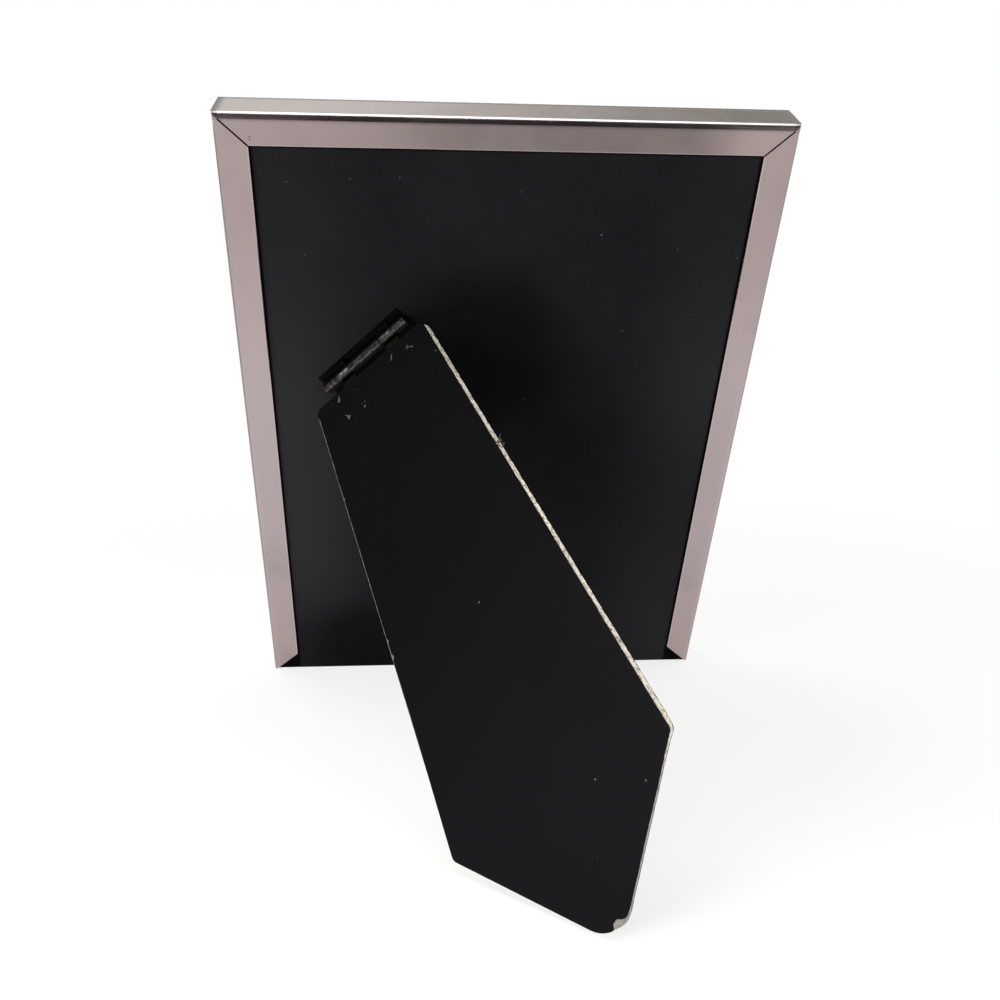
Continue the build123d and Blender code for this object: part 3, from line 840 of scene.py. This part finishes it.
def torn_fibres(material):
    """Loose fibres that curl out of the leg's right edge, most of them in one tuft."""
    chance = random.Random(FIBRE_SEED)
    shape = bmesh.new()

    def spread():
        return chance.uniform(-FIBRE_SPREAD, FIBRE_SPREAD)

    for x, y, count, length in TORN_FIBRES:
        for _ in range(count):
            points = curled_fibre(shape, length * chance.uniform(0.5, 1.0), spread())
            out = Matrix.Rotation(math.radians(90) + spread(), 4, "Y")
            turn = Matrix.Rotation(spread(), 4, "Z")
            root = Vector((x - FIBRE_ROOT, y, CORE_FRONT_Z))
            root += Vector((0, chance.uniform(-0.5, 0.5) * length, chance.uniform(0.4, 0.95) * LEG_CORE))
            bmesh.ops.transform(shape, matrix=Matrix.Translation(root) @ turn @ out, verts=points)
    add_piece("torn_fibres", shape, material, "leg")


def build_leg():
    """The leg's papers and core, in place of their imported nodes, with its prong points and torn fibres."""
    paper = black_paper("black_leg_paper", LEG_PLACE, LEG_SHADE, LEG_REAR_Z, LEG_SPECKS, painted_light_to_foot)
    fibre = cream_fibreboard("leg_fibre", LEG_PLACE, CORE_FRONT_Z + LEG_CORE, foot_edge)
    leg_paper("leg_rear_paper_worn", LEG_REAR_Z - PAPER, rear_wear, paper, "leg_rear_paper")
    leg_paper("leg_front_paper_worn", LEG_FRONT_Z, front_wear, paper, "leg_front_paper")
    leg_fibre(fibre)
    prong_tips(prong_steel("prong_steel"))
    torn_fibres(loose_fibre("loose_fibre"))


def facing(at, aim):
    """The turn of a lamp or a card at one point that faces another."""
    return (Vector(aim) - Vector(at)).to_track_quat("-Z", "Y").to_euler()


def add_lamp(name, at, aim, size, power):
    """A soft rectangular lamp."""
    lamp = bpy.data.lights.new(name, "AREA")
    lamp.shape = "RECTANGLE"
    lamp.size, lamp.size_y = size
    lamp.energy = power
    lit = bpy.data.objects.new(name, lamp)
    lit.location = at
    lit.rotation_euler = facing(at, aim)
    bpy.context.scene.collection.objects.link(lit)


def add_dark_card(name, at, aim, size, solid):
    """A dark card that shows only as a dark streak in polished metal, solid in a share of its height."""
    turn = Matrix.Translation(at) @ facing(at, aim).to_matrix().to_4x4()
    shape = bmesh.new()
    bmesh.ops.create_grid(shape, x_segments=1, y_segments=1, size=0.5)
    bmesh.ops.scale(shape, vec=(*size, 1), verts=shape.verts)
    bmesh.ops.transform(shape, matrix=turn, verts=shape.verts)
    finish = Finish(name, roughness=1.0, specular=0.0)
    mottle = finish.noise(finish.where(), 6)
    finish.set("Base Color", finish.mix(mottle, colour(0.028, 0.021, 0.02), colour(0.042, 0.034, 0.033)))
    from_middle = finish.math("ABSOLUTE", finish.axis(finish.where(turn), "Y"))
    half_height = size[1] / 2
    clear = finish.nodes.new("ShaderNodeBsdfTransparent")
    finish.give_way(finish.span(from_middle, solid * half_height, half_height), clear.outputs["BSDF"])
    card = as_object(name, shape, finish.material)
    card.visible_camera = False
    card.visible_diffuse = False
    card.visible_transmission = False
    card.visible_shadow = False


def seen_directly(tree):
    """1 for what the camera sees directly, in metal or through glass."""
    path = tree.nodes.new("ShaderNodeLightPath")
    total = path.outputs["Is Camera Ray"]
    for name in ("Is Glossy Ray", "Is Transmission Ray"):
        add = tree.nodes.new("ShaderNodeMath")
        add.operation = "MAXIMUM"
        tree.links.new(total, add.inputs[0])
        tree.links.new(path.outputs[name], add.inputs[1])
        total = add.outputs["Value"]
    return total


def build_world():
    """A world that looks white and gives a little light from all round."""
    world = bpy.data.worlds.new("studio")
    bpy.context.scene.world = world
    world.use_nodes = True
    tree = world.node_tree
    background = tree.nodes["Background"]
    background.inputs["Color"].default_value = colour(1.0, 1.0, 1.0)
    strength = tree.nodes.new("ShaderNodeMapRange")
    strength.inputs["To Min"].default_value = LIGHT_ALL_ROUND
    strength.inputs["To Max"].default_value = 1.0
    tree.links.new(seen_directly(tree), strength.inputs["Value"])
    tree.links.new(strength.outputs["Result"], background.inputs["Strength"])


def build_floor():
    """A pale round floor, lit by itself in part so that it stays near white, with a soft shadow on it."""
    shape = bmesh.new()
    bmesh.ops.create_circle(shape, cap_ends=True, segments=FLOOR_SEGMENTS, radius=FLOOR_RADIUS)
    finish = Finish("pale_floor", roughness=0.9, specular=0.0)
    finish.set("Base Color", colour(0.92, 0.92, 0.92))
    distance = finish.nodes.new("ShaderNodeVectorMath")
    distance.operation = "LENGTH"
    finish.links.new(finish.where(), distance.inputs[0])
    far = finish.span(distance.outputs["Value"], *SHADOW_REACH, LEAST_GLOW, 1.0)
    glow = finish.times(far, seen_directly(finish.material.node_tree))
    white = finish.nodes.new("ShaderNodeEmission")
    white.inputs["Strength"].default_value = 1.0
    finish.give_way(glow, white.outputs["Emission"])
    floor = as_object("floor", shape, finish.material)


def build_camera():
    """The camera at the photograph's viewing angle."""
    camera = bpy.data.cameras.new("photo_camera")
    camera.lens = CAMERA_LENS
    camera.sensor_fit = "HORIZONTAL"
    camera.shift_y = CAMERA_SHIFT
    camera.clip_start = CAMERA_NEAREST
    camera.dof.use_dof = False
    taken = bpy.data.objects.new("photo_camera", camera)
    taken.location = CAMERA_AT
    taken.rotation_euler = Euler(CAMERA_TURN, "XYZ")
    bpy.context.scene.collection.objects.link(taken)
    bpy.context.scene.camera = taken


finish_nodes()
build_leg()
build_world()
build_floor()
build_camera()
for lamp in LAMPS:
    add_lamp(*lamp)
for card in DARK_CARDS:
    add_dark_card(*card)
bpy.context.scene.view_settings.view_transform = "Standard"
